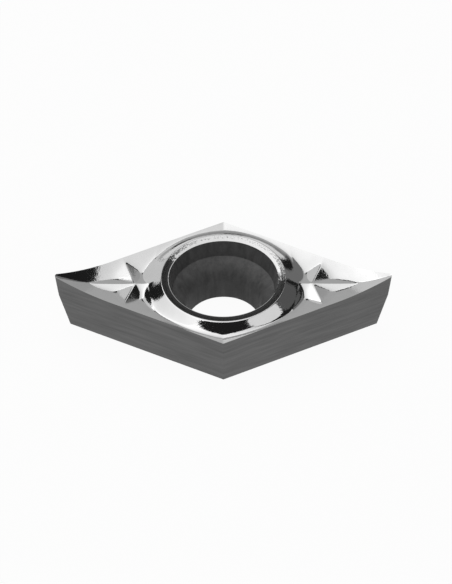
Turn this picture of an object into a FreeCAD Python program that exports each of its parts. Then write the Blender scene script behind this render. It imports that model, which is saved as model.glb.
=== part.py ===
"""Indexable turning insert: one pressed, sintered and ground piece of hard metal.

Millimetres. The origin is the centre of the bottom face, +X runs to an acute corner,
+Y to an obtuse corner and +Z up to the rake face. The insert is symmetric about both
upright planes, so one quarter is built and then mirrored twice.
"""
import FreeCAD
import Part
import Sketcher
import math
import os

Vector = FreeCAD.Vector

DIMENSIONS = {
    # Blank: a rhombus with relieved flanks
    "intercircle": 9.525,
    "thickness": 3.97,
    "point_angle": 55,
    "relief_angle": 7,
    "nose_radius": 0.2,
    "grinding_stock": 0.3,
    # Cutting edge, seen square to the flank: level in the middle, rising to the tips
    "edge_drop": 0.52,
    "rise_run": 4.1,
    "rise_radius": 14.4,
    # Rake groove behind the edge
    "rake_angle": 20,
    "groove_radius": 8,
    # Ring boss round the screw hole; drops are depths below the tips
    "crest_radius": 3.735,
    "crest_drop": 0.18,
    "boss_slope": 33,
    "boss_height": 1.2,
    "rim_radius": 3.29,
    "land_slope": 7,
    # Screw hole
    "wall_depth": 1,
    "seat_radius": 3.07,
    "bore_radius": 2.2,
    "bore_depth": 1.25,
    "bore_chamfer": 0.12,
    # Chip-breaker relief at the acute corners: a ridge on the long diagonal and two ribs
    # that fan out from its root. Run-ins are places on the long diagonal, past the crest
    "ridge_drop": 0.7,
    "ridge_slope": 20,
    "ridge_length": 4,
    "outer_rib_run_in": 1.565,
    "outer_rib_turn": 70,
    "outer_rib_drop": 0.65,
    "outer_rib_inner_slope": 20,
    "outer_rib_outer_slope": 9,
    "outer_rib_length": 2.05,
    "inner_rib_run_in": 0.865,
    "inner_rib_turn": 102,
    "inner_rib_drop": 0.75,
    "inner_rib_slope": 20,
    "inner_rib_length": 2.6,
    "relief_root": 0.35,
}

doc = FreeCAD.newDocument("turning_insert")


def fill_sheet(name, values):
    sheet = doc.addObject("Spreadsheet::Sheet", name)
    for row, (alias, value) in enumerate(values.items(), 1):
        sheet.set(f"A{row}", alias)
        sheet.set(f"B{row}", str(value))
        sheet.setAlias(f"B{row}", alias)
    doc.recompute()
    return sheet


size = fill_sheet("size", DIMENSIONS)

# Lengths that follow from the sheet, as expressions that stay live in the document
HALF_ANGLE = "size.point_angle / 2"
HALF_TOP = "size.intercircle / 2"
HALF_BOTTOM = f"({HALF_TOP} - size.thickness * tan(size.relief_angle))"
EDGE_Z = "(size.thickness - size.edge_drop)"
EDGE_OUT = f"({HALF_BOTTOM} + {EDGE_Z} * tan(size.relief_angle))"
NOSE_X = f"(({HALF_TOP} - size.nose_radius) / sin({HALF_ANGLE}))"
NOSE_DEPTH = "(size.nose_radius / tan(size.relief_angle))"
# Distance of the start of the rise from the middle of a side
RISE_START = f"({HALF_TOP} / tan({HALF_ANGLE}) - size.rise_run)"
CREST_Z = "(size.thickness - size.crest_drop)"
RIM_Z = f"({CREST_Z} - (size.crest_radius - size.rim_radius) * tan(size.land_slope))"
SEAT_Z = f"({RIM_Z} - size.wall_depth)"


def value(expression):
    """Present value of an expression on the sheet, as a plain number."""
    result = size.evalExpression(expression)
    return float(getattr(result, "Value", result))


def origin_feature(body, role):
    return next(item for item in body.Origin.OriginFeatures if item.Role == role)


def add_sketch(body, name, plane, turn=None, shift=None):
    """Sketch on an origin plane, turned about the plane's own upright axis."""
    sketch = body.newObject("Sketcher::SketchObject", name)
    sketch.AttachmentSupport = (origin_feature(body, plane), [""])
    sketch.MapMode = "FlatFace"
    if turn:
        sketch.AttachmentOffset = FreeCAD.Placement(Vector(), FreeCAD.Rotation(Vector(0, 1, 0), 10))
        sketch.setExpression("AttachmentOffset.Rotation.Angle", turn)
    for axis, expression in (shift or {}).items():
        sketch.setExpression(f"AttachmentOffset.Base.{axis}", expression)
    doc.recompute()
    return sketch


def bind(sketch, kind, places, expression, name):
    """Dimension on sketch points, driven by an expression."""
    index = sketch.addConstraint(Sketcher.Constraint(kind, *places, value(expression)))
    sketch.renameConstraint(index, name)
    sketch.setExpression(f"Constraints.{name}", expression)


def bind_point(sketch, line, end, x, y, name):
    bind(sketch, "DistanceX", (-1, 1, line, end), x, f"{name}_x")
    bind(sketch, "DistanceY", (-1, 1, line, end), y, f"{name}_y")


def draw_polygon(sketch, corners):
    """Closed outline through named corners, given as pairs of expressions."""
    points = [Vector(value(x), value(y), 0) for x, y in corners.values()]
    for start, stop in zip(points, points[1:] + points[:1]):
        sketch.addGeometry(Part.LineSegment(start, stop), False)
    for line in range(len(points)):
        following = (line + 1) % len(points)
        sketch.addConstraint(Sketcher.Constraint("Coincident", line, 2, following, 1))
    for line, (name, (x, y)) in enumerate(corners.items()):
        bind_point(sketch, line, 1, x, y, name)


def draw_axis(sketch, start, stop):
    """Construction line that a turned feature revolves about."""
    ends = [Vector(value(x), value(y), 0) for x, y in (start, stop)]
    axis = sketch.addGeometry(Part.LineSegment(*ends), True)
    bind_point(sketch, axis, 1, *start, "axis_start")
    bind_point(sketch, axis, 2, *stop, "axis_stop")


def add_feature(body, kind, name, sketch, **settings):
    feature = body.newObject(f"PartDesign::{kind}", name)
    feature.Profile = sketch
    for key, setting in settings.items():
        setattr(feature, key, setting)
    sketch.Visibility = False
    return feature


def upright_turn(body, kind, name, sketch, about):
    """Feature turned about the sketch's own drawn axis or about the middle of the insert."""
    axis = (sketch, ["Axis0"]) if about == "own" else (origin_feature(body, "Z_Axis"), [""])
    return add_feature(body, kind, name, sketch, ReferenceAxis=axis)


def press_blank(body):
    """Straight quarter prism with stock left on the flank."""
    sketch = add_sketch(body, "blank_outline", "XY_Plane")
    reach = f"({HALF_TOP} + size.grinding_stock)"
    draw_polygon(sketch, {
        "middle": ("0", "0"),
        "acute": (f"{reach} / sin({HALF_ANGLE})", "0"),
        "obtuse": ("0", f"{reach} / cos({HALF_ANGLE})"),
    })
    pad = add_feature(body, "Pad", "blank", sketch)
    pad.setExpression("Length", "size.thickness")
    doc.recompute()


def add_side_sketch(body, name, along="0"):
    """Sketch square to the flank: its x is the distance from the middle, its y is the height."""
    return add_sketch(body, name, "XZ_Plane", turn=f"90 - {HALF_ANGLE}", shift={
        "x": f"{along} * cos({HALF_ANGLE})",
        "z": f"{along} * sin({HALF_ANGLE})",
    })


def grind_flank(body):
    """Relief ground along the whole side, so that the bottom is smaller than the top."""
    sketch = add_side_sketch(body, "flank_section")
    beyond = "2 * size.intercircle"
    over = "size.thickness + size.grinding_stock"
    under = "-size.grinding_stock"
    slope = "tan(size.relief_angle)"
    draw_polygon(sketch, {
        "low": (f"{HALF_BOTTOM} + ({under}) * {slope}", under),
        "low_out": (beyond, under),
        "high_out": (beyond, over),
        "high": (f"{HALF_BOTTOM} + ({over}) * {slope}", over),
    })
    pocket = add_feature(body, "Pocket", "flank", sketch, Midplane=True)
    pocket.setExpression("Length", "4 * size.intercircle")
    doc.recompute()


def grind_nose(body):
    """Nose radius, a cone that keeps the relief and runs out above the bottom."""
    sketch = add_sketch(body, "nose_section", "XZ_Plane")
    over = "size.grinding_stock"
    draw_polygon(sketch, {
        "apex": (NOSE_X, f"size.thickness - {NOSE_DEPTH}"),
        "out": (f"{NOSE_X} + 4 * size.nose_radius", f"size.thickness - {NOSE_DEPTH}"),
        "out_top": (f"{NOSE_X} + 4 * size.nose_radius", f"size.thickness + {over}"),
        "top": (f"{NOSE_X} + size.nose_radius + {over} * tan(size.relief_angle)",
                f"size.thickness + {over}"),
    })
    draw_axis(sketch, (NOSE_X, "0"), (NOSE_X, "size.thickness"))
    groove = upright_turn(body, "Groove", "nose", sketch, "own")
    groove.Midplane = True
    groove.setExpression("Angle", "180 - size.point_angle")
    doc.recompute()


def draw_groove_section(sketch):
    """Round groove whose tangent at the cutting edge is the rake angle."""
    top = "size.thickness + size.grinding_stock"
    centre_x = f"{EDGE_OUT} - size.groove_radius * sin(size.rake_angle)"
    centre_z = f"{EDGE_Z} + size.groove_radius * cos(size.rake_angle)"
    radius = value("size.groove_radius")
    middle = Vector(value(centre_x), value(centre_z), 0)
    lean = math.acos((middle.y - value(top)) / radius)
    start, stop = -math.pi / 2 - lean, -math.pi / 2 + lean
    circle = Part.Circle(middle, Vector(0, 0, 1), radius)
    sketch.addGeometry(Part.ArcOfCircle(circle, start, stop), False)
    ends = [middle + radius * Vector(math.cos(turn), math.sin(turn), 0) for turn in (start, stop)]
    sketch.addGeometry(Part.LineSegment(ends[1], ends[0]), False)
    sketch.addConstraint(Sketcher.Constraint("Coincident", 0, 2, 1, 1))
    sketch.addConstraint(Sketcher.Constraint("Coincident", 1, 2, 0, 1))
    sketch.addConstraint(Sketcher.Constraint("Horizontal", 1))
    bind(sketch, "Radius", (0,), "size.groove_radius", "radius")
    bind_point(sketch, 0, 3, centre_x, centre_z, "centre")
    bind(sketch, "DistanceY", (-1, 1, 1, 1), top, "top")


def cut_rake(body):
    """Groove along the level edge, then on round the rise to the tip."""
    level = add_side_sketch(body, "level_groove_section", RISE_START)
    draw_groove_section(level)
    pocket = add_feature(body, "Pocket", "level_groove", level)
    pocket.setExpression("Length", "3 * size.intercircle")
    doc.recompute()
    rising = add_side_sketch(body, "rising_groove_section", RISE_START)
    draw_groove_section(rising)
    pivot = f"{EDGE_Z} + size.rise_radius"
    draw_axis(rising, ("0", pivot), (EDGE_OUT, pivot))
    groove = upright_turn(body, "Groove", "rising_groove", rising, "own")
    groove.Reversed = True
    groove.Angle = 30
    doc.recompute()


def raise_boss(body):
    """Ring boss: cone outside, land that falls gently to the hole."""
    sketch = add_sketch(body, "boss_section", "XZ_Plane")
    foot_x = "size.crest_radius + size.boss_height / tan(size.boss_slope)"
    draw_polygon(sketch, {
        "rim": ("size.rim_radius", RIM_Z),
        "crest": ("size.crest_radius", CREST_Z),
        "foot": (foot_x, f"{CREST_Z} - size.boss_height"),
        "root": ("size.rim_radius", f"{CREST_Z} - size.boss_height"),
    })
    turn = upright_turn(body, "Revolution", "boss", sketch, "centre")
    turn.Angle = 90
    doc.recompute()


def draw_roof(sketch, crest, inner_slope, outer_slope):
    """Three-cornered section with its crest up, falling to either side to a common root."""
    root = f"({crest} - size.relief_root)"
    draw_polygon(sketch, {
        "crest": ("0", crest),
        "inner": (f"size.relief_root / tan({inner_slope})", root),
        "outer": (f"-size.relief_root / tan({outer_slope})", root),
    })


def raise_ridge(body):
    """Ridge along the long diagonal that runs out where the groove has risen to it."""
    sketch = add_sketch(body, "ridge_section", "YZ_Plane")
    sketch.setExpression("AttachmentOffset.Base.z", "size.crest_radius")
    draw_roof(sketch, "(size.thickness - size.ridge_drop)", "size.ridge_slope", "size.ridge_slope")
    pad = add_feature(body, "Pad", "ridge", sketch)
    pad.setExpression("Length", "size.ridge_length")
    doc.recompute()


def raise_rib(body, name, inner_slope, outer_slope):
    """Level rib that runs out where the groove has risen to it, short of the cutting edge."""
    run_in = f"size.crest_radius + size.{name}_run_in"
    sketch = add_sketch(body, f"{name}_section", "XZ_Plane", turn=f"90 + size.{name}_turn",
                        shift={"x": run_in})
    draw_roof(sketch, f"(size.thickness - size.{name}_drop)", inner_slope, outer_slope)
    pad = add_feature(body, "Pad", name, sketch)
    pad.setExpression("Length", f"size.{name}_length")
    doc.recompute()


def sink_hole(body):
    """Screw hole: upright-sided pocket, curved seat for the screw head, plain bore."""
    sketch = add_sketch(body, "hole_section", "XZ_Plane")
    over = f"{CREST_Z} + size.grinding_stock"
    bore, chamfer = "size.bore_radius", "size.bore_chamfer"
    corners = {
        "seat": ("size.seat_radius", SEAT_Z),
        "rim": ("size.rim_radius", RIM_Z),
        "rim_over": ("size.rim_radius", over),
        "centre_top": ("0", over),
        "centre_bottom": ("0", f"-{chamfer}"),
        "mouth": (f"{bore} + 2 * {chamfer}", f"-{chamfer}"),
        "bore_bottom": (bore, chamfer),
        "bore_top": (bore, "size.bore_depth"),
    }
    points = [Vector(value(x), value(y), 0) for x, y in corners.values()]
    for start, stop in zip(points, points[1:]):
        sketch.addGeometry(Part.LineSegment(start, stop), False)
    sketch.addGeometry(seat_arc(points[-1], points[0]), False)
    last = len(points) - 1
    for line in range(last - 1):
        sketch.addConstraint(Sketcher.Constraint("Coincident", line, 2, line + 1, 1))
    # The arc runs from the seat's upper edge, beyond it, down to the top of the bore
    sketch.addConstraint(Sketcher.Constraint("Coincident", last, 1, 0, 1))
    sketch.addConstraint(Sketcher.Constraint("Tangent", last, 2, last - 1, 2))
    for line, (name, (x, y)) in enumerate(list(corners.items())[:-1]):
        bind_point(sketch, line, 1, x, y, name)
    bind_point(sketch, last - 1, 2, *corners["bore_top"], "bore_top")
    groove = upright_turn(body, "Groove", "hole", sketch, "centre")
    groove.Angle = 360
    doc.recompute()


def seat_arc(low, high):
    """Arc that leaves the bore upright at the low point and ends at the high one."""
    across, up = high.x - low.x, high.y - low.y
    radius = (across ** 2 + up ** 2) / (2 * across)
    middle = Vector(low.x + radius, low.y, 0)
    start = math.atan2(high.y - middle.y, high.x - middle.x)
    return Part.ArcOfCircle(Part.Circle(middle, Vector(0, 0, 1), radius), start, math.pi)


def mirror_quarter(body):
    """Quarter to half about the long diagonal, half to whole about the short one."""
    whole = body.newObject("PartDesign::MultiTransform", "whole")
    whole.TransformMode = "Whole shape"
    steps = []
    for name, plane in (("across_long_diagonal", "XZ_Plane"), ("across_short_diagonal", "YZ_Plane")):
        step = body.newObject("PartDesign::Mirrored", name)
        step.MirrorPlane = (origin_feature(body, plane), [""])
        steps.append(step)
    whole.Transformations = steps
    body.Tip = whole
    doc.recompute()


def build_insert():
    body = doc.addObject("PartDesign::Body", "insert")
    body.Label = "insert"
    press_blank(body)
    cut_rake(body)
    raise_boss(body)
    raise_ridge(body)
    raise_rib(body, "outer_rib", "size.outer_rib_inner_slope", "size.outer_rib_outer_slope")
    raise_rib(body, "inner_rib", "size.inner_rib_slope", "size.inner_rib_slope")
    grind_flank(body)
    grind_nose(body)
    sink_hole(body)
    mirror_quarter(body)
    body.Placement = FreeCAD.Placement()
    return body


def check(part):
    doc.recompute()
    for item in doc.Objects:
        if {"Invalid", "Error"} & set(item.State):
            raise RuntimeError(f"{item.Name} did not build: {item.State}")
    shape = part.Shape
    if shape.isNull() or not shape.isValid() or len(shape.Solids) != 1:
        raise RuntimeError(f"{part.Label} is not one sound solid")


insert = build_insert()
check(insert)
os.makedirs("parts", exist_ok=True)
insert.Shape.exportStep(f"parts/{insert.Label}.step")
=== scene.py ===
"""Looks of a rhombic turning insert: polished rake face, ground flanks, sintered screw hole.

The insert's lengths are written in millimetres and turned into metres where they are used. The
frame is the CAD model's: origin in the middle of the bottom face, +X to an acute corner, +Z to
the rake face.
"""
import bpy
import math
import numpy as np
from mathutils import Matrix, Vector


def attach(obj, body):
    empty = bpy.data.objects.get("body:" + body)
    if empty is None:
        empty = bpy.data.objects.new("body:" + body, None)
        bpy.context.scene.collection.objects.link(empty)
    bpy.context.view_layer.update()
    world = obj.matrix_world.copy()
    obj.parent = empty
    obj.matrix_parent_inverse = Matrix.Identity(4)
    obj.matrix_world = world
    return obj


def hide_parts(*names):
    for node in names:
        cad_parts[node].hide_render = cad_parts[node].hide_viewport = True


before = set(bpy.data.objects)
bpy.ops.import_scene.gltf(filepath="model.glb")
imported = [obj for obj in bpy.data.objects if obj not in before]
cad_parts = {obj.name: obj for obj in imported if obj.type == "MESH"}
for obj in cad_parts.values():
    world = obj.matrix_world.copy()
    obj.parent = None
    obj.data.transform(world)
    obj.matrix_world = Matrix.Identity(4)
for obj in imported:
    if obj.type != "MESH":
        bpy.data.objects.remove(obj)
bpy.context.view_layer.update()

MM = 0.001


def slope(degrees):
    return math.tan(math.radians(degrees))


# Driving sizes, as in the CAD model
HALF_ANGLE = math.radians(27.5)
SIN, COS = math.sin(HALF_ANGLE), math.cos(HALF_ANGLE)
THICKNESS = 3.97
RELIEF = slope(7)
HALF_TOP = 9.525 / 2
HALF_BOTTOM = HALF_TOP - THICKNESS * RELIEF
NOSE_RADIUS = 0.2
LEAST_NOSE_RADIUS = 0.01
EDGE_HEIGHT = THICKNESS - 0.52
RISE_RUN = 4.1
RISE_RADIUS = 14.4
RAKE_ANGLE = math.radians(20)
GROOVE_RADIUS = 8
CREST_RADIUS = 3.735
CREST_HEIGHT = THICKNESS - 0.18
RIM_RADIUS = 3.29
LAND_SLOPE = slope(7)
RIM_HEIGHT = CREST_HEIGHT - (CREST_RADIUS - RIM_RADIUS) * LAND_SLOPE
BOSS_SLOPE = slope(33)
WALL_DEPTH = 1
SEAT_RADIUS = 3.07
BORE_RADIUS = 2.2
BORE_DEPTH = 1.25
BORE_CHAMFER = 0.12

# Sizes of the rake relief, which are the named inputs of its node tree
RELIEF_LENGTHS = {
    "Groove radius": GROOVE_RADIUS,
    "Groove centre out": HALF_BOTTOM + EDGE_HEIGHT * RELIEF - GROOVE_RADIUS * math.sin(RAKE_ANGLE),
    "Groove centre up": EDGE_HEIGHT + GROOVE_RADIUS * math.cos(RAKE_ANGLE),
    "Rise start": HALF_TOP / math.tan(HALF_ANGLE) - RISE_RUN,
    "Rise pivot": EDGE_HEIGHT + RISE_RADIUS,
    "Fold rounding": 0.05,
    "Crest radius": CREST_RADIUS,
    "Crest height": CREST_HEIGHT,
    "Crest rounding": 0.015,
    "Ridge height": THICKNESS - 0.7,
    "Outer rib root": 5.3,
    "Outer rib height": THICKNESS - 0.65,
    "Inner rib root": 4.6,
    "Inner rib height": THICKNESS - 0.75,
    "Rib rounding": 0.015,
    "Ridge foot rounding": 0.12,
    "Rib foot rounding": 0.07,
    "Boss foot rounding": 0.13,
    "Top": THICKNESS - 0.0005,
}
RELIEF_SLOPES = {
    "Land slope": LAND_SLOPE,
    "Boss slope": BOSS_SLOPE,
    "Ridge slope": slope(20),
    "Outer rib turn": math.radians(70),
    "Outer rib inner slope": slope(20),
    "Outer rib outer slope": slope(9),
    "Inner rib turn": math.radians(102),
    "Inner rib inner slope": slope(20),
    "Inner rib outer slope": slope(20),
}
RELIEF_SIZES = {name: length * MM for name, length in RELIEF_LENGTHS.items()} | RELIEF_SLOPES

# Rings of the lattice: how many points or rings each stretch has, and where the stretches end.
# The rings of the rake face crowd a little towards the circle round the boss's foot.
EDGE_STEPS = 150
NOSE_STEPS = 8
FOOT_RADIUS = 4.5
LAND_RADII = np.linspace(RIM_RADIUS, CREST_RADIUS - 0.06, 6)
CREST_RADII = np.linspace(CREST_RADIUS - 0.04, CREST_RADIUS + 0.06, 6)
BOSS_RADII = np.linspace(CREST_RADIUS + 0.1, FOOT_RADIUS, 18)
RAKE_RINGS = 79
RAKE_CROWDING = 1.25
FLANK_RINGS = 10
BOTTOM_RADII = (3.4, BORE_RADIUS + BORE_CHAMFER)
SEAT_STEPS = 12
WALL_SHARES = (0.33, 0.66)
EDGE_CORRECTIONS = 8
SHARP_ANGLE = math.radians(24)

# Finishes, in the order of the material slots
RAKE, FLANK, HOLE = range(3)

# Land round the hole: each band is the radius of its middle and the half widths at which it
# starts to fade and has gone. On one side, which lies in a direction of the plan, the land is
# dark and rougher. The distances that way are those over which the pits crowd, over which they
# thin out again and over which the darkening ends, and how ragged these borders are.
PITTED_BAND = (3.6, 0.06, 0.22)
DARK_LAND_BAND = (3.525, 0.19, 0.215)
DARK_LAND_SIDE = (-0.26, -0.966)
CROWDING = (-3.4, -1.2)
THINNING = (-0.9, -0.4)
DARK_LAND_END = (-1.2, -0.7)
RAGGEDNESS = 3
PIT_THRESHOLD = (0.77, 0.88)

# Heights over which the hole's painted shade makes it lighter from the bottom face up, and
# darker at the wall
SEAT_PAINTED_SHADE = (0.9, 2.6)
WALL_PAINTED_SHADE = (2.7, 2.77)

# Studio, in metres. A softbox has its centre and size in units of its height, its turn in
# degrees, its radiance and how much of that it loses from its left side to its right. A card has
# two azimuths (0 behind, 90 to the right), two elevations and its radiance.
SOFTBOX_HEIGHT = 0.5
SOFTBOXES = {
    "overhead_left": ((-1.0024, 0.2869), (0.936, 1.215), 9.2, 1.15, -0.4),
    "overhead_right": ((-0.114, 0.4308), (0.864, 1.215), 9.2, 1.92, 0.46),
    "left_front": ((-0.941, -0.673), (1.1, 0.7), 9.2, 1.0, 0.0),
    "right": ((0.907, -0.12), (0.987, 0.96), 0, 1.12, 0.0),
}
CARD_DISTANCE = 0.8
CARDS = {
    "right_side": ((45, 73), (20, 42), 0.12),
    "back_left": ((-40, -12.5), (0.5, 45), 0.88),
    "back": ((-3, 12.5), (0.5, 43), 0.58),
    "back_low": ((-12.5, -3), (0.5, 37), 0.6),
    "back_right": ((12.5, 20), (0.5, 43), 0.5),
    "far_right": ((20, 41), (9, 45), 0.22),
    "left": ((-70, -40), (2, 20), 0.9),
    "low_right": ((32, 56), (0.5, 8), 0.3),
    "front_right": ((96, 136), (4, 42), 0.5),
    "front": ((144, 216), (6, 54), 0.75),
    "front_left": ((224, 264), (4, 42), 0.6),
}

# The room's brightness to the insert, where the camera sees white, and the table, which glows by
# a share, and by a further share where the camera or a mirror sees it
ROOM_LEVEL = 0.018
TABLE_HALF_SIDE = 0.6
TABLE_LEVEL = -0.00002
TABLE_GREY = 0.7
TABLE_GLOW = 0.5
TABLE_SEEN_GLOW = 0.45

# Camera: elevation, azimuth and roll in degrees, distance in metres, focal length and picture
# height in pixels, and in millimetres the sensor, the height aimed at and the aim's shift to the
# right and up
CAMERA_ANGLES = (43.64, 0.25, -0.24)
CAMERA_DISTANCE = 0.3
FOCAL_PIXELS, PICTURE_PIXELS = 4992, 584
SENSOR = 36
AIM_HEIGHT = 2
AIM_SHIFT = (0.15, 0.45)


# Node maths
class Value:
    """A number socket that takes part in Python arithmetic by adding Math nodes."""

    def __init__(self, tree, socket):
        self.tree, self.socket = tree, socket

    def maths(self, operation, *others):
        node = self.tree.nodes.new("ShaderNodeMath")
        node.operation = operation
        for place, item in zip(node.inputs, (self, *others)):
            if isinstance(item, Value):
                self.tree.links.new(item.socket, place)
            else:
                place.default_value = item
        return Value(self.tree, node.outputs[0])

    def __add__(self, other):
        return self.maths("ADD", other)

    def __sub__(self, other):
        return self.maths("SUBTRACT", other)

    def __rsub__(self, other):
        return self.maths("MULTIPLY_ADD", -1, other)

    def __mul__(self, other):
        return self.maths("MULTIPLY", other)

    def __neg__(self):
        return self * -1

    def __abs__(self):
        return self.maths("ABSOLUTE")

    __radd__, __rmul__ = __add__, __mul__


def call(operation, plain, value, *others):
    """A function of a value: a Math node for a socket, plain arithmetic otherwise."""
    if isinstance(value, Value):
        return value.maths(operation, *others)
    return plain(value, *others)


def root(value):
    return call("SQRT", np.sqrt, value)


def larger(value, other):
    return call("MAXIMUM", np.maximum, value, other)


def smaller(value, other):
    return call("MINIMUM", np.minimum, value, other)


def sine(value):
    return call("SINE", np.sin, value)


def cosine(value):
    return call("COSINE", np.cos, value)


def rounded_larger(a, b, rounding):
    """Larger of two heights, with the inside corner between them filled smoothly."""
    gap = a - b
    return (a + b + root(gap * gap + rounding * rounding)) * 0.5


def rounded_smaller(a, b, rounding):
    """Smaller of two heights, with the outside corner between them rounded off."""
    return -rounded_larger(-a, -b, rounding)


# Rule of the rake face: height over a point of the plan
def groove_height(out, along, size):
    """Round groove that follows the cutting edge: level, then swung up round a high pivot."""
    radius = size["Groove radius"]
    offset = out - size["Groove centre out"]
    level = size["Groove centre up"] - root(radius * radius - offset * offset)
    reach = size["Rise pivot"] - level
    past = larger(along - size["Rise start"], 0.0)
    return size["Rise pivot"] - root(reach * reach - past * past)


def rib_height(x, y, size, rib):
    """Level roof whose crest leaves the long diagonal at the rib's root and runs outwards."""
    turn = size[f"{rib} turn"]
    across = (x - size[f"{rib} root"]) * sine(turn) - y * cosine(turn)
    inner_side = size[f"{rib} height"] + across * size[f"{rib} inner slope"]
    outer_side = size[f"{rib} height"] - across * size[f"{rib} outer slope"]
    return rounded_smaller(inner_side, outer_side, size["Rib rounding"])


def rake_height(x, y, size):
    """Height of the rake face, mirrored about both diagonals and softly folded at the long one."""
    x = abs(x)
    fold = size["Fold rounding"]
    y = root(y * y + fold * fold) - fold
    height = groove_height(x * SIN + y * COS, x * COS - y * SIN, size)
    ridge = size["Ridge height"] - y * size["Ridge slope"]
    height = rounded_larger(height, ridge, size["Ridge foot rounding"])
    for rib in ("Outer rib", "Inner rib"):
        height = rounded_larger(height, rib_height(x, y, size, rib), size["Rib foot rounding"])
    past_crest = root(x * x + y * y) - size["Crest radius"]
    face = size["Crest height"] - past_crest * size["Boss slope"]
    land = size["Crest height"] + past_crest * size["Land slope"]
    boss = rounded_smaller(face, land, size["Crest rounding"])
    return smaller(rounded_larger(height, boss, size["Boss foot rounding"]), size["Top"])


# Lattice: rings round the insert, each a closed loop of points
def whole_loop(x, y):
    """Full loop from a quarter's points, which run from an obtuse corner to an acute tip."""
    back_x, back_y = x[::-1], y[::-1]
    return np.stack([
        np.concatenate([back_x[:-1], -x[:-1], -back_x[:-1], x[:-1]]),
        np.concatenate([back_y[:-1], y[:-1], -back_y[:-1], -y[:-1]]),
    ], axis=1)


def ring(x, y, height):
    """Full loop with the quarter's heights, which are the same in all four quarters."""
    back = height[::-1]
    level = np.concatenate([back[:-1], height[:-1], back[:-1], height[:-1]])
    return np.column_stack([whole_loop(x, y), level])


def flank_quarter(height):
    """Plan of a quarter of the flank, from the height of each of its points."""
    half = HALF_BOTTOM + height * RELIEF
    nose = np.maximum(NOSE_RADIUS - (THICKNESS - height) * RELIEF, LEAST_NOSE_RADIUS)
    centre = (half - nose) / SIN
    straight = np.arange(EDGE_STEPS + 1) / EDGE_STEPS
    side = slice(0, EDGE_STEPS + 1)
    side_x = straight * (centre + nose * SIN)[side]
    side_y = (half / COS)[side] * (1 - straight) + straight * (nose * COS)[side]
    swing = math.pi / 2 - HALF_ANGLE
    turns = swing - np.arange(1, NOSE_STEPS + 1) / NOSE_STEPS * swing
    tip = slice(EDGE_STEPS + 1, None)
    tip_x = centre[tip] + nose[tip] * np.cos(turns)
    tip_y = nose[tip] * np.sin(turns)
    tip_y[-1] = 0.0
    return np.concatenate([side_x, tip_x]), np.concatenate([side_y, tip_y])


def edge_quarter():
    """Cutting edge, where the rake face meets the flank, found by a few corrections."""
    height = np.full(EDGE_STEPS + NOSE_STEPS + 1, EDGE_HEIGHT)
    for _ in range(EDGE_CORRECTIONS):
        x, y = flank_quarter(height)
        height = rake_height(x * MM, y * MM, RELIEF_SIZES) / MM
    return x, y, height


def seat_profile():
    """Arc that leaves the bore upright and flares to the foot of the wall."""
    across, up = SEAT_RADIUS - BORE_RADIUS, RIM_HEIGHT - WALL_DEPTH - BORE_DEPTH
    radius = (across ** 2 + up ** 2) / (2 * across)
    last = math.asin(up / radius)
    for step in range(SEAT_STEPS + 1):
        turn = last * step / SEAT_STEPS
        yield BORE_RADIUS + radius * (1 - math.cos(turn)), BORE_DEPTH + radius * math.sin(turn)


def insert_rings():
    """Rings in order round the section: rake face, flank, bottom, bore, seat and wall."""
    edge_x, edge_y, edge_height = edge_quarter()
    reach = np.hypot(edge_x, edge_y)
    rings = []

    def add_circle(finish, radius, height):
        level = np.full_like(reach, height)
        rings.append((finish, ring(edge_x / reach * radius, edge_y / reach * radius, level)))

    for radius in (*LAND_RADII, *CREST_RADII, *BOSS_RADII):
        add_circle(RAKE, radius, EDGE_HEIGHT)
    for step in range(1, RAKE_RINGS + 1):
        share = (step / RAKE_RINGS) ** RAKE_CROWDING
        scale = (FOOT_RADIUS + (reach - FOOT_RADIUS) * share) / reach
        rings.append((RAKE, ring(edge_x * scale, edge_y * scale, edge_height)))
    for step in range(1, FLANK_RINGS + 1):
        height = edge_height * (1 - step / FLANK_RINGS)
        rings.append((FLANK, ring(*flank_quarter(height), height)))
    for radius in BOTTOM_RADII:
        add_circle(HOLE, radius, 0.0)
    add_circle(HOLE, BORE_RADIUS, BORE_CHAMFER)
    for radius, height in seat_profile():
        add_circle(HOLE, radius, height)
    for share in WALL_SHARES:
        add_circle(HOLE, SEAT_RADIUS + (RIM_RADIUS - SEAT_RADIUS) * share,
                   RIM_HEIGHT - WALL_DEPTH * (1 - share))
    return rings


def lattice_mesh():
    """Closed mesh of the rings, the last one joined to the first, with each face's finish."""
    rings = insert_rings()
    count = len(rings[0][1])
    mesh = bpy.data.meshes.new("insert_lattice")
    points = np.concatenate([loop for _, loop in rings]) * MM
    place = np.arange(count)
    beside = (place + 1) % count
    faces, finishes = [], []
    for number in range(len(rings)):
        following = (number + 1) % len(rings)
        here, there = number * count, following * count
        faces += np.stack([here + place, there + place, there + beside, here + beside],
                          axis=1).tolist()
        finishes += [rings[following][0] if following else HOLE] * count
    mesh.from_pydata(points.tolist(), [], faces)
    rake = np.repeat([finish == RAKE for finish, _ in rings], count)
    mesh.attributes.new("rake", "BOOLEAN", "POINT").data.foreach_set("value", rake)
    mesh.attributes.new("finish", "INT", "FACE").data.foreach_set("value", finishes)
    return mesh


# Node trees
def add_node(tree, kind, settings=(), **values):
    """Adds a node, applies its settings, then sets or links the sockets that are named."""
    node = tree.nodes.new(kind)
    for name, setting in dict(settings).items():
        setattr(node, name, setting)
    for name, item in values.items():
        socket = node.inputs[name.replace("_", " ")]
        if isinstance(item, Value):
            item = item.socket
        if isinstance(item, bpy.types.NodeSocket):
            tree.links.new(item, socket)
        else:
            socket.default_value = item
    return node


def axes(tree, vector):
    """X, Y and Z of a vector socket, as values."""
    split = add_node(tree, "ShaderNodeSeparateXYZ", Vector=vector)
    return [Value(tree, socket) for socket in split.outputs]


def add_object(name, data):
    holder = bpy.data.objects.new(name, data)
    bpy.context.scene.collection.objects.link(holder)
    return holder


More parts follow.
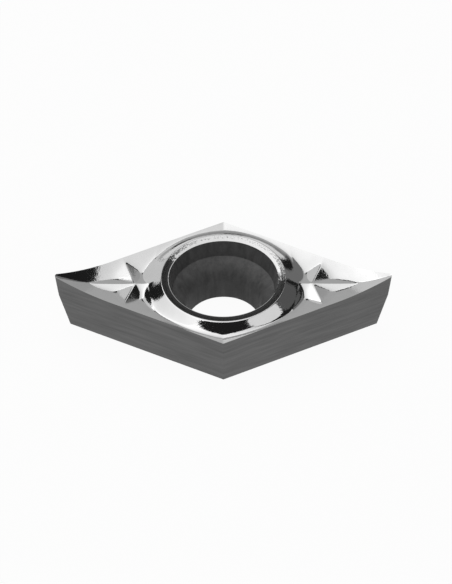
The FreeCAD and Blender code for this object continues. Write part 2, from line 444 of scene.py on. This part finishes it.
def relief_tree(materials):
    """Geometry nodes that raise the flat lattice to the rake face and give faces their finish."""
    tree = bpy.data.node_groups.new("rake_relief", "GeometryNodeTree")
    tree.interface.new_socket("Geometry", in_out="INPUT", socket_type="NodeSocketGeometry")
    for name in RELIEF_SIZES:
        tree.interface.new_socket(name, in_out="INPUT", socket_type="NodeSocketFloat")
    tree.interface.new_socket("Geometry", in_out="OUTPUT", socket_type="NodeSocketGeometry")
    given = add_node(tree, "NodeGroupInput")
    size = {name: Value(tree, given.outputs[name]) for name in RELIEF_SIZES}
    x, y, _ = axes(tree, add_node(tree, "GeometryNodeInputPosition").outputs[0])
    raised = add_node(tree, "ShaderNodeCombineXYZ", X=x, Y=y, Z=rake_height(x, y, size))
    rake = add_node(tree, "GeometryNodeInputNamedAttribute", {"data_type": "BOOLEAN"}, Name="rake")
    geometry = add_node(tree, "GeometryNodeSetPosition", Geometry=given.outputs["Geometry"],
                        Selection=rake.outputs[0], Position=raised.outputs[0]).outputs[0]
    geometry = add_node(tree, "GeometryNodeRealizeInstances", Geometry=geometry).outputs[0]
    finish = add_node(tree, "GeometryNodeInputNamedAttribute", {"data_type": "INT"}, Name="finish")
    for number, material in enumerate(materials):
        chosen = add_node(tree, "FunctionNodeCompare", {"data_type": "INT", "operation": "EQUAL"},
                          A=finish.outputs[0], B=number)
        geometry = add_node(tree, "GeometryNodeSetMaterial", Geometry=geometry,
                            Selection=chosen.outputs[0], Material=material).outputs[0]
    add_node(tree, "NodeGroupOutput", Geometry=geometry)
    return tree


def build_insert(materials):
    """The insert as one plain mesh, from the lattice with its relief applied."""
    lattice = add_object("insert_lattice", lattice_mesh())
    modifier = lattice.modifiers.new("rake_relief", "NODES")
    modifier.node_group = relief_tree(materials)
    for item in modifier.node_group.interface.items_tree:
        if item.name in RELIEF_SIZES:
            modifier[item.identifier] = RELIEF_SIZES[item.name]
    evaluated = lattice.evaluated_get(bpy.context.evaluated_depsgraph_get())
    mesh = bpy.data.meshes.new_from_object(evaluated)
    bpy.data.objects.remove(lattice)
    # The first slot is empty, and no face uses it
    mesh.materials.pop(index=0)
    for face in mesh.polygons:
        face.use_smooth = True
    mesh.set_sharp_from_angle(angle=SHARP_ANGLE)
    return add_object("carbide_insert", mesh)


# Materials
def noise(tree, scale, detail=2.0, stretch=(1, 1, 1)):
    """Noise on Object coordinates; the scale is in cells to the metre."""
    place = add_node(tree, "ShaderNodeTexCoord").outputs["Object"]
    mapping = add_node(tree, "ShaderNodeMapping", Vector=place, Scale=stretch)
    texture = add_node(tree, "ShaderNodeTexNoise", Vector=mapping.outputs[0], Scale=scale,
                       Detail=detail)
    return Value(tree, texture.outputs["Fac"])


def position(tree):
    """X, Y and Z in the insert's own frame, in metres."""
    return axes(tree, add_node(tree, "ShaderNodeTexCoord").outputs["Object"])


def ramp(tree, value, start, end, first, last):
    """Smooth step of a number from a first to a last value."""
    node = add_node(tree, "ShaderNodeMapRange", {"interpolation_type": "SMOOTHSTEP"}, Value=value,
                    From_Min=start, From_Max=end, To_Min=first, To_Max=last)
    return Value(tree, node.outputs[0])


def fade(tree, length, start, end, first, last):
    """Smooth step over a stretch that is given in millimetres."""
    return ramp(tree, length, start * MM, end * MM, first, last)


def band(tree, reach, middle, core, edge):
    """One within a round band of the plan, and smoothly down to nought at its edges."""
    return fade(tree, abs(reach - middle * MM), core, edge, 1.0, 0.0)


def metal(name, recipe):
    """Bare metal whose grey level, roughness, relief and relief depth come from a recipe."""
    material = bpy.data.materials.new(name)
    material.use_nodes = True
    tree = material.node_tree
    shader = tree.nodes["Principled BSDF"]
    shader.inputs["Metallic"].default_value = 1.0
    level, roughness, relief, depth = recipe(tree)
    colour = add_node(tree, "ShaderNodeMix", {"data_type": "RGBA"}, Factor=level,
                      A=(0, 0, 0, 1), B=(1, 1, 1, 1))
    bump = add_node(tree, "ShaderNodeBump", Height=relief, Distance=depth, Strength=1.0)
    tree.links.new(colour.outputs["Result"], shader.inputs["Base Color"])
    tree.links.new(roughness.socket, shader.inputs["Roughness"])
    tree.links.new(bump.outputs[0], shader.inputs["Normal"])
    return material


def polished(tree):
    """Rake face: lapped to a mirror, with a faint unevenness.

    A band of small pits runs round the land. They crowd towards one side of it, and there the
    land is dark and rougher.
    """
    waves = noise(tree, 2200)
    grain = noise(tree, 9000)
    clouds = noise(tree, 700, 3.0)
    x, y, _ = position(tree)
    reach = root(x * x + y * y)
    ragged = (grain - 0.5) * RAGGEDNESS * MM
    side = DARK_LAND_SIDE[0] * x + DARK_LAND_SIDE[1] * y + ragged
    land = band(tree, reach, *PITTED_BAND)
    crowding = fade(tree, side, *CROWDING, 0.21, 0.42) - fade(tree, side, *THINNING, 0.0, 0.12)
    pits = ramp(tree, noise(tree, 14000) + land * crowding, *PIT_THRESHOLD, 0.0, 1.0)
    # On one side the land is dark and rougher
    dark_land = band(tree, reach, *DARK_LAND_BAND) * fade(tree, side, *DARK_LAND_END, 0.0, 1.0)
    level = (0.50 + 0.03 * waves + 0.08 * clouds - 0.38 * pits) * (1 - 0.92 * dark_land)
    roughness = 0.05 + 0.03 * grain + 0.12 * pits + 0.2 * dark_land
    return level, roughness, waves + grain * (land * 1.6 + 0.9), 2.6e-6


def ground(tree):
    """Flanks: fine grinding lines and broader streaks that run along each side."""
    lines = noise(tree, 1000, 4.0, (0.3, 0.3, 20))
    streaks = noise(tree, 900, 4.0, (0.4, 0.4, 4.5))
    return 0.04 + 0.06 * lines + 0.094 * streaks, 0.36 + 0.16 * lines, lines, 6.0e-6


def sintered(tree):
    """Screw hole and bottom face: dark, finely grained and darker towards the bottom by painted
    shade, which also darkens the wall.
    """
    grain = noise(tree, 9000, 3.0)
    patches = noise(tree, 2200, 3.0, (1, 1, 0.35))
    streaks = noise(tree, 4500, 2.0, (1, 1, 0.12))
    height = position(tree)[2]
    # Painted shade: the hole darkens towards the bottom and at its wall
    seat = fade(tree, height, *SEAT_PAINTED_SHADE, 0.66, 1.08)
    wall = fade(tree, height, *WALL_PAINTED_SHADE, 0.0, 0.24)
    level = (0.03 + 0.15 * patches + 0.05 * grain + 0.08 * streaks) * (seat - wall)
    return level, 0.72 + 0.12 * patches, grain + patches * 2, 8.0e-6


# Studio
def placed(centre, across, up, outward):
    """Matrix of an object at a place, with its X, Y and Z along three directions."""
    return Matrix.Translation(centre) @ Matrix((across, up, outward)).transposed().to_4x4()


def panel(name, centre, across, up, size, radiance, fall=0.0):
    """Rectangular lamp, dimmer by a share from its left side to its right."""
    lamp = bpy.data.lights.new(name, "AREA")
    lamp.shape = "RECTANGLE"
    lamp.size, lamp.size_y = size
    lamp.energy = radiance * math.pi * size[0] * size[1]
    lamp.use_nodes = True
    tree = lamp.node_tree
    along = axes(tree, add_node(tree, "ShaderNodeNewGeometry").outputs["Parametric"])[0]
    tree.links.new((1 - along * fall).socket, tree.nodes["Emission"].inputs["Strength"])
    across, up = Vector(across).normalized(), Vector(up).normalized()
    add_object(name, lamp).matrix_world = placed(centre, across, up, across.cross(up))


def softbox(name, centre, size, turn, radiance, fall):
    """Level lamp over the insert."""
    across = (math.cos(math.radians(turn)), math.sin(math.radians(turn)), 0)
    x, y, width, length = (share * SOFTBOX_HEIGHT for share in (*centre, *size))
    panel(name, (x, y, SOFTBOX_HEIGHT), across, (-across[1], across[0], 0), (width, length),
          radiance, fall)


def card(name, azimuths, elevations, radiance):
    """Upright lamp that stands round the table."""
    turn = math.radians(sum(azimuths) / 2)
    outward = Vector((math.sin(turn), math.cos(turn), 0))
    low, high = (slope(angle) * CARD_DISTANCE for angle in elevations)
    width = 2 * slope((azimuths[1] - azimuths[0]) / 2) * CARD_DISTANCE
    panel(name, outward * CARD_DISTANCE + Vector((0, 0, (low + high) / 2)),
          (-outward.y, outward.x, 0), (0, 0, 1), (width, high - low), radiance)


def build_lights():
    for name, setting in SOFTBOXES.items():
        softbox(name, *setting)
    for name, setting in CARDS.items():
        card(name, *setting)


def build_world():
    """White to the camera, a dim room to the insert."""
    world = bpy.data.worlds.new("studio")
    world.use_nodes = True
    tree = world.node_tree
    background = tree.nodes["Background"]
    background.inputs["Color"].default_value = (1, 1, 1, 1)
    camera = Value(tree, add_node(tree, "ShaderNodeLightPath").outputs["Is Camera Ray"])
    strength = camera * (1 - ROOM_LEVEL) + ROOM_LEVEL
    tree.links.new(strength.socket, background.inputs["Strength"])
    bpy.context.scene.world = world


def build_floor():
    """Plain table, nearly white to the camera and in mirrored views, that keeps the shadow."""
    mesh = bpy.data.meshes.new("table")
    signs = ((-1, -1), (1, -1), (1, 1), (-1, 1))
    corners = [(x * TABLE_HALF_SIDE, y * TABLE_HALF_SIDE, TABLE_LEVEL) for x, y in signs]
    mesh.from_pydata(corners, [], [(0, 1, 2, 3)])
    table = add_object("table", mesh)
    material = bpy.data.materials.new("white_table")
    material.use_nodes = True
    tree = material.node_tree
    shader = tree.nodes["Principled BSDF"]
    shader.inputs["Base Color"].default_value = (TABLE_GREY, TABLE_GREY, TABLE_GREY, 1)
    shader.inputs["Roughness"].default_value = 0.9
    glow = add_node(tree, "ShaderNodeEmission", Color=(1, 1, 1, 1), Strength=1.0)
    rays = add_node(tree, "ShaderNodeLightPath").outputs
    seen = larger(Value(tree, rays["Is Camera Ray"]), Value(tree, rays["Is Glossy Ray"]))
    mix = add_node(tree, "ShaderNodeMixShader", Fac=seen * TABLE_SEEN_GLOW + TABLE_GLOW)
    tree.links.new(shader.outputs[0], mix.inputs[1])
    tree.links.new(glow.outputs[0], mix.inputs[2])
    tree.links.new(mix.outputs[0], tree.nodes["Material Output"].inputs["Surface"])
    mesh.materials.append(material)


def build_camera():
    """Long lens from the front, 43.6 degrees above the table."""
    elevation, azimuth, roll = (math.radians(angle) for angle in CAMERA_ANGLES)
    back = Vector((math.sin(azimuth) * math.cos(elevation),
                   -math.cos(azimuth) * math.cos(elevation), math.sin(elevation)))
    level = Vector((math.cos(azimuth), math.sin(azimuth), 0))
    upright = back.cross(level)
    right = math.cos(roll) * level + math.sin(roll) * upright
    up = math.cos(roll) * upright - math.sin(roll) * level
    aim = Vector((0, 0, AIM_HEIGHT * MM)) + right * AIM_SHIFT[0] * MM + up * AIM_SHIFT[1] * MM
    data = bpy.data.cameras.new("camera")
    data.sensor_width = SENSOR
    data.lens = FOCAL_PIXELS / PICTURE_PIXELS * SENSOR
    data.clip_start = 0.01
    camera = add_object("camera", data)
    camera.matrix_world = placed(aim + back * CAMERA_DISTANCE, right, up, back)
    bpy.context.scene.camera = camera


insert = build_insert([metal("polished_carbide", polished), metal("ground_carbide", ground),
                       metal("sintered_carbide", sintered)])
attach(insert, "root")
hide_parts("insert")

build_floor()
build_world()
build_lights()
build_camera()
bpy.context.scene.view_settings.view_transform = "Standard"
